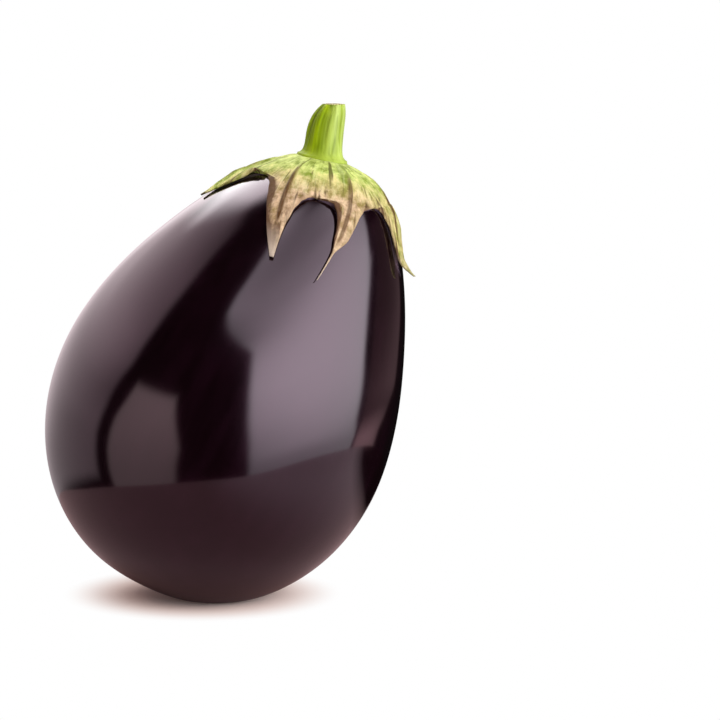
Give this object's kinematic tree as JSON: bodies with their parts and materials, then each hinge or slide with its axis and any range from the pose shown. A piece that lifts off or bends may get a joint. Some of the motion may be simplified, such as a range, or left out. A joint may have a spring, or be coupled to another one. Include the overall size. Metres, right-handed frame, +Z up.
{
  "type": "eggplant",
  "caption": "Whole globe eggplant standing on its blossom end and leaning, with a pointed green calyx and a short cut stem.",
  "frame": {"origin": "middle of the small flat spot under the fruit, on the surface it stands on", "axes": "+Z up, the way the eggplant stands; the fruit leans 26 degrees towards +X and a little towards +Y; -Y is the side with the two long front lobes"},
  "size_m": [0.1089, 0.1044, 0.1498],
  "materials": {
    "skin": "smooth waxy skin, near-black purple, very glossy",
    "calyx": "matt leafy green going to dry tan at the lobes' tips",
    "stem": "satin yellow-green, ribbed along its length, pale dry cut end"
  },
  "bodies": {
    "root": {"fruit": "skin", "calyx": "calyx", "stem": "stem"}
  },
  "joints": []
}
